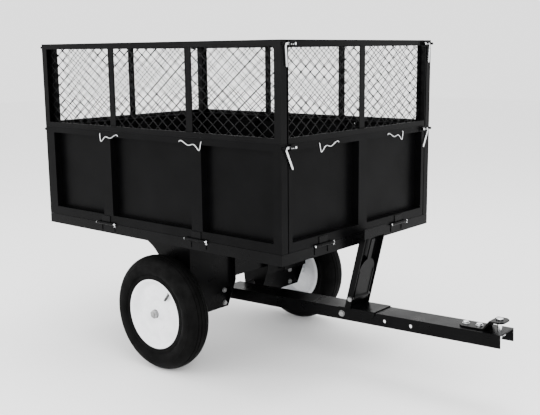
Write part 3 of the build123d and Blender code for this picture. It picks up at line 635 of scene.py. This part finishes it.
def crossing_wires(wide, high):
    """Paths of both families of wires in a rectangle about the origin, as
    lists of (u, v, depth) points."""
    slope = diamond_high / diamond_wide
    paths = []
    for family in (1, -1):
        reach = wide / 2 + high / 2 / slope
        first = -math.ceil(reach / diamond_wide)
        for number in range(first, -first + 1):
            foot = number * diamond_wide
            low = max(-wide / 2, foot - high / 2 / slope)
            top = min(wide / 2, foot + high / 2 / slope)
            if top - low < 0.004:
                continue
            marks = [low]
            step = math.ceil((low - foot) / (diamond_wide / 2))
            while foot + step * diamond_wide / 2 < top:
                place = foot + step * diamond_wide / 2
                if place - low > 0.002 and top - place > 0.002:
                    marks.append(place)
                step += 1
            marks.append(top)
            path = []
            for u in marks:
                v = (u - foot) * slope * family
                weave = 1 if round((u - foot) / (diamond_wide / 2)) % 2 else -1
                path.append((u, v, family * weave * 0.0004))
            paths.append(path)
    return paths


def wire_panel(side):
    """The woven wire of one extension."""
    low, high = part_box(f"wire_mesh_{side}")
    middle = (Vector(low) + Vector(high)) / 2
    span = Vector(high) - Vector(low)
    along_x = side in ("right", "left")
    wide = (span.x if along_x else span.y) - 0.001
    paths = []
    for path in crossing_wires(wide, span.z - 0.001):
        if along_x:
            paths.append([(middle.x + u, middle.y + d, middle.z + v)
                          for u, v, d in path])
        else:
            paths.append([(middle.x + d, middle.y + u, middle.z + v)
                          for u, v, d in path])
    wires = bent_wires(f"woven_wire_{side}", paths, strand, wire_coat, False, 1)
    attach(wires, f"mesh_{side}")
    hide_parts(f"wire_mesh_{side}")
    return len(paths)


print("wires", {side: wire_panel(side) for side in sides})

# %% [markdown]
# ## Safety clips
#
# A safety clip is one length of spring wire: a short pin that enters the rail,
# a leg that drops to a sharp turn, and a wavy arm that snaps against itself.
# A NURBS path rounds the corners as bent wire does.

# %% Safety clips
clip_wire = 0.0012
clip_height = 0.745
hinge_height = 0.452
half_width = 0.385


def clip_path(centre, toward, face):
    """Points of one clip: centre along its rail, toward +1 or -1, and face(a,
    out) that gives a point at a along the rail and out from the panel."""
    return [face(centre - toward * 0.0440, -0.0030, 0),
            face(centre - toward * 0.0440, 0.0018, 0),
            face(centre - toward * 0.0436, 0.0026, -0.004),
            face(centre - toward * 0.0400, 0.0028, -0.0215),
            face(centre - toward * 0.0368, 0.0030, -0.0262),
            face(centre - toward * 0.0325, 0.0030, -0.0238),
            face(centre - toward * 0.0190, 0.0030, -0.0105),
            face(centre - toward * 0.0110, 0.0030, -0.0085),
            face(centre + toward * 0.0010, 0.0030, -0.0125),
            face(centre + toward * 0.0110, 0.0030, -0.0135),
            face(centre + toward * 0.0290, 0.0030, -0.0035),
            face(centre + toward * 0.0430, 0.0030, 0.0010),
            face(centre + toward * 0.0462, 0.0030, -0.0050)]


def rail_face(side, height):
    """A function that places points on the outside of one side's rail."""
    low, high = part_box(f"panel_{side}")
    middle_x = (low[0] + high[0]) / 2
    if side == "right":
        return lambda a, out, up: (middle_x + a, -half_width - out, height + up)
    if side == "left":
        return lambda a, out, up: (middle_x + a, half_width + out, height + up)
    if side == "front":
        return lambda a, out, up: (high[0] + out, a, height + up)
    return lambda a, out, up: (low[0] - out, -a, height + up)


clip_places = {"right": (-0.189, 0.182), "left": (-0.189, 0.182),
               "front": (-0.175, 0.175), "rear": (-0.175, 0.175)}
for side in sides:
    face = rail_face(side, clip_height)
    paths = [clip_path(centre, math.copysign(1, -centre), face)
             for centre in clip_places[side]]
    snaps = bent_wires(f"spring_clips_{side}", paths, clip_wire, zinc)
    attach(snaps, f"side_{side}")
    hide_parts(f"safety_clips_{side}")
print("clips", 2 * len(sides))

# %% [markdown]
# ## Hinge pins
#
# Every drop side turns on two long pins. Each pin has a domed head at one end
# and a split pin through the other, whose legs are bent apart below.

# %% Hinge pins
hinge_places = {"right": (-0.220, 0.195), "left": (-0.220, 0.195),
                "front": (-0.2, 0.2), "rear": (-0.2, 0.2)}
pin_parts, split_paths = [], []
for side in sides:
    face = rail_face(side, hinge_height)
    along = Vector(face(1, 0, 0)) - Vector(face(0, 0, 0))
    for centre in hinge_places[side]:
        start = Vector(face(centre - 0.045, 0.0055, 0))
        profile = [(0.0, 0.0), (0.0026, 0.0003), (0.0039, 0.0012), (0.0039, 0.002),
                   (0.0025, 0.0022), (0.0025, 0.0930), (0.0018, 0.0938), (0.0, 0.094)]
        pin_parts.append(lathe(profile, 24, along, start))
        for bend in (-1, 1):
            split_paths.append([
                face(centre + 0.046, 0.0055, 0.0042),
                face(centre + 0.046 - bend * 0.0010, 0.0055, 0.0034),
                face(centre + 0.046 + bend * 0.0006, 0.0055, 0.0),
                face(centre + 0.046 + bend * 0.0006, 0.0055, -0.0045),
                face(centre + 0.046 + bend * 0.0034, 0.0055, -0.0085)])
pins = joined("hinge_pin_rods", pin_parts, zinc, 50)
splits = bent_wires("hinge_split_pins", split_paths, 0.0007, zinc, True, 2)
for piece in (pins, splits):
    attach(piece, "bed")
    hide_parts("hinge_pins")
print("hinge pins", len(pin_parts))

# %% [markdown]
# ## Corner latches
#
# A corner latch is a plate with a rounded black cover, a bolt through it, and
# a bright flat lever that hangs down between them. The lever is one outline
# with a rounded end and an eased edge. Four latches close each end of the
# cart, so all come from one helper.

# %% Corner latches
lever_lean = {"low": 0.026, "high": 0.004}
lever_width, lever_thick = 0.0060, 0.0032


def latch(end, level, corner):
    """One latch's lever on its own body. Returns its pivot, its plane, which
    way is outward and which way is the cart's side."""
    joint = joints[f"lever_{end}_{level}_{corner}_turn"]
    pivot = Vector(joint["pos_m"])
    low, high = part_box(f"latch_lever_{end}_{level}_{corner}")
    out = 1 if end == "front" else -1
    side = -1 if corner == "right" else 1
    plate = low[0] if end == "front" else high[0]
    tip = (low[1] if corner == "right" else high[1]) - side * 0.0045
    lean = lever_lean[level]
    foot = low[2] + 0.0045
    path = [(pivot.y, pivot.z), (tip - side * 0.006, pivot.z),
            (tip - side * 0.0012, pivot.z - 0.0016), (tip - side * 0.0005, pivot.z - 0.007),
            (tip - side * (0.0005 + lean), foot)]
    start = plate + (0.0006 if out > 0 else -0.0006 - lever_thick)
    bar = joined(f"latch_bar_{end}_{level}_{corner}",
                 [flat_bar(path, lever_width, lever_thick, start)], zinc, 30)
    rounded(bar, 0.0007)
    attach(bar, f"lever_{end}_{level}_{corner}")
    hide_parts(f"latch_lever_{end}_{level}_{corner}")
    return pivot, plate, out, side


def latch_body(end, level):
    """The two plates, covers and bolts on one end at one height."""
    plates, bolts = [], []
    for corner in ("right", "left"):
        centre, plate, out, side = latch(end, level, corner)
        face_x = plate - out * 0.0024
        y, z = centre.y, centre.z
        corners = [(y - 0.0128, z - 0.0088), (y + 0.0128, z - 0.0088),
                   (y + 0.0128, z + 0.0088), (y - 0.0128, z + 0.0088)]
        x0, x1 = sorted((face_x, face_x + out * 0.0019))
        verts = [(x, cy, cz) for x in (x0, x1) for cy, cz in corners]
        faces = [(0, 1, 2, 3), (7, 6, 5, 4), (0, 4, 5, 1), (1, 5, 6, 2), (2, 6, 7, 3),
                 (3, 7, 4, 0)]
        plates.append((verts, faces))
        boss = [(0.0, 0.0), (0.0040, 0.0), (0.0040, 0.0062), (0.0, 0.0062)]
        plates.append(lathe(boss, 24, (out, 0, 0), (face_x + out * 0.0018, y, z)))
        cover = y + side * 0.009
        near_x = min(face_x + out * 0.0078, face_x + out * 0.0094)
        plates.append(flat_bar([(cover - 0.005, z), (cover + 0.005, z)], 0.0158,
                               0.0016, near_x))
        head = Vector((face_x + out * 0.0093, y, z))
        bolts.append(hexagon(head, (out, 0, 0), 0.0068, 0.0022))
        for spot_y in (cover, cover + side * 0.0075):
            spot = Vector((face_x + out * 0.0093, spot_y, z - 0.0015))
            dome = [(0.0, 0.0), (0.0016, 0.0), (0.0014, 0.0006), (0.0, 0.0009)]
            bolts.append(lathe(dome, 14, (out, 0, 0), spot))
    base = joined(f"latch_covers_{end}_{level}", plates, frame_coat, 35)
    rounded(base, 0.0004)
    heads = joined(f"latch_bolts_{end}_{level}", bolts, zinc, 30)
    body = f"side_{end}" if level == "low" else f"mesh_{end}"
    for piece, name in ((base, "latch_black"), (heads, "zinc")):
        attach(piece, body)
        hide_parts(f"latch_plates_{end}_{level}")


for end in ("front", "rear"):
    for level in ("low", "high"):
        latch_body(end, level)
print("latches", 8)

# %% [markdown]
# ## Bolts of the axle brackets
#
# Bolt heads under the bed and across the brackets are small, but they are
# bright against black paint, so they are seen. Every head sits on a washer
# and has its own turn, because nobody lines bolts up.

# %% Bracket bolts
front_face = axle_centre.x + 0.034
under = 0.417
bolt_flats, bolt_height = 0.0135, 0.005
heads = []
spin = 0.0
for sign in (-1, 1):
    for rise_z in (-0.022, 0.022):
        for y in (0.101, 0.248):
            place = Vector((front_face, sign * y, axle_centre.z + rise_z))
            heads.append(washer(place, (1, 0, 0), 0.0088, 0.0012))
            heads.append(hexagon(place + Vector((0.0011, 0, 0)), (1, 0, 0), bolt_flats,
                                 bolt_height, spin))
            spin += 0.7
for sign in (-1, 1):
    for x in (axle_centre.x - 0.122, axle_centre.x + 0.040):
        for y in (0.109, 0.269):
            place = Vector((x, sign * y, under))
            heads.append(washer(place, (0, 0, -1), 0.0088, 0.0012))
            heads.append(hexagon(place - Vector((0, 0, 0.0011)), (0, 0, -1), bolt_flats,
                                 bolt_height, spin))
            spin += 0.7
bracket_heads = joined("bracket_bolt_heads", heads, dull_zinc, 30)
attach(bracket_heads, "bed")
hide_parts("bracket_bolts")
print("bracket bolts", len(heads) // 2)

# %% [markdown]
# ## Hitch and drawbar bolts
#
# The drawbar rises a little towards the hitch, so its bolts stand square to a
# sloping face. One helper turns places along the drawbar into world points.

# %% Drawbar frame
slope = math.radians(2.2)
bar_along = Vector((math.cos(slope), 0, math.sin(slope)))
bar_up = Vector((-math.sin(slope), 0, math.cos(slope)))
box_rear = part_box("bed_frame")[0][0]
web_top = 0.013
web_thick = 0.004
hitch_bolts, hitch_pin_place = (1.407, 1.448), 1.509
stand_bolt_place, cross_bolt_place = 1.010, 1.005


def on_bar(from_rear, across_y, up_z):
    """A point in the drawbar's own directions, from the axle."""
    reach = (box_rear + from_rear - axle_centre.x) / math.cos(slope)
    return axle_centre + bar_along * reach + Vector((0, across_y, 0)) + bar_up * up_z


def hex_through(spots, direction, flats, height):
    """Washers and chamfered heads at several places."""
    parts = []
    for number, spot in enumerate(spots):
        parts.append(washer(spot, direction, flats * 0.66, 0.0012))
        parts.append(hexagon(spot + direction * 0.0011, direction, flats, height,
                             0.4 + number))
    return parts


# %% Hitch bolts
plate_top = web_top + 0.005
top_spots = [on_bar(x, 0, plate_top) for x in hitch_bolts]
nut_spots = [on_bar(x, 0, web_top - web_thick) for x in hitch_bolts]
hitch_parts = hex_through(top_spots, bar_up, 0.0155, 0.005)
hitch_parts += hex_through(nut_spots, -bar_up, 0.0155, 0.0065)
hitch_parts += [stud(spot - bar_up * 0.0075, -bar_up, 0.005, 0.006)
                for spot in nut_spots]
hitch_heads = joined("hitch_bolt_heads", hitch_parts, zinc, 30)
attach(hitch_heads, "chassis")
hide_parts("hitch_bolts")

# %% Hitch pin and ring clip
clip_level = web_top - web_thick - 0.008 - 0.0016
pin_foot = on_bar(hitch_pin_place, 0, clip_level)
pin_low = clip_level - 0.0098
pin_high = web_top + 0.030 + 0.0003
pin_profile = [(0.0, 0.0), (0.0045, 0.0), (0.0063, 0.0020),
               (0.0063, pin_high - pin_low - 0.0006), (0.0094, pin_high - pin_low),
               (0.0100, pin_high - pin_low + 0.0010),
               (0.0100, pin_high - pin_low + 0.0036),
               (0.0088, pin_high - pin_low + 0.0047), (0.0, pin_high - pin_low + 0.0049)]
hitch_rod = joined("hitch_rod", [lathe(pin_profile, 40, bar_up,
                                       on_bar(hitch_pin_place, 0, pin_low))], zinc, 35)
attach(hitch_rod, "hitch_pin_body")
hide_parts("hitch_pin")


def near_pin(x, y):
    """A point at the clip's height, x and y from the pin."""
    return pin_foot + bar_along * x + Vector((0, y, 0))


clip_points = [near_pin(0, -0.0093), near_pin(0, 0.003), near_pin(0, 0.0125),
               near_pin(0.0035, 0.0166), near_pin(0.0095, 0.0160),
               near_pin(0.0120, 0.0100), near_pin(0.0105, 0.0035),
               near_pin(0.0100, -0.001), near_pin(0.0118, -0.0075)]
ring_clip = bent_wires("hitch_ring_clip", [clip_points], 0.0014, zinc)
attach(ring_clip, "hitch_clip_body")
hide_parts("hitch_clip")
print("hitch pieces", 3)

# %% [markdown]
# ## Pin of the tipping latch
#
# The foot lever turns on a pin across the stand, with a domed head on one
# side and a washer and nut on the other. Behind the stand one bolt crosses
# the drawbar and one holds the stand's base down.

# %% Stand pin and cross bolt
lever_pivot = Vector(joints["foot_lever_swing"]["pos_m"])
pin_side = Vector((0, 1, 0))
dome = [(0.0, 0.0), (0.0049, 0.0), (0.0049, 0.1025), (0.0076, 0.1030),
        (0.0079, 0.1042), (0.0068, 0.1054), (0.0040, 0.1062), (0.0, 0.1064)]
pin_start = lever_pivot - pin_side * 0.0515
stand_parts = [lathe(dome, 32, pin_side, pin_start)]
stand_parts.append(washer(lever_pivot - pin_side * 0.0523, -pin_side, 0.0079, 0.0014))
stand_parts.append(hexagon(lever_pivot - pin_side * 0.0536, -pin_side, 0.0125, 0.003))
bolt_spot = on_bar(cross_bolt_place, 0, -0.006)
stand_parts += hex_through([bolt_spot - pin_side * 0.043], -pin_side, 0.0155, 0.005)
stand_parts += hex_through([bolt_spot + pin_side * 0.043], pin_side, 0.0155, 0.0066)
base_spot = on_bar(stand_bolt_place, 0, web_top + 0.003)
web_spot = on_bar(stand_bolt_place, 0, web_top - web_thick)
stand_parts += hex_through([base_spot], bar_up, 0.0155, 0.005)
stand_parts += hex_through([web_spot], -bar_up, 0.0155, 0.0055)
stand_parts.append(stud(bolt_spot + pin_side * 0.0505, pin_side, 0.005, 0.0042))
stand_fixings = joined("stand_pin_and_cross_bolt", stand_parts, dull_zinc, 30)
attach(stand_fixings, "chassis")
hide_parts("stand_pin_and_bolt")
print("stand fixings", len(stand_parts))

# %% [markdown]
# ## Sizes of the dressed cart
#
# The dressed cart should stay inside its CAD box. The sizes of both boxes are
# printed.

# %% Sizes
visual_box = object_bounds()
sizes = {"cad": [list(map(float, corner)) for corner in cad_box],
         "visual": [list(map(float, corner)) for corner in visual_box]}
for name, (low, high) in sizes.items():
    print(name, [round(h - l, 4) for l, h in zip(low, high)])
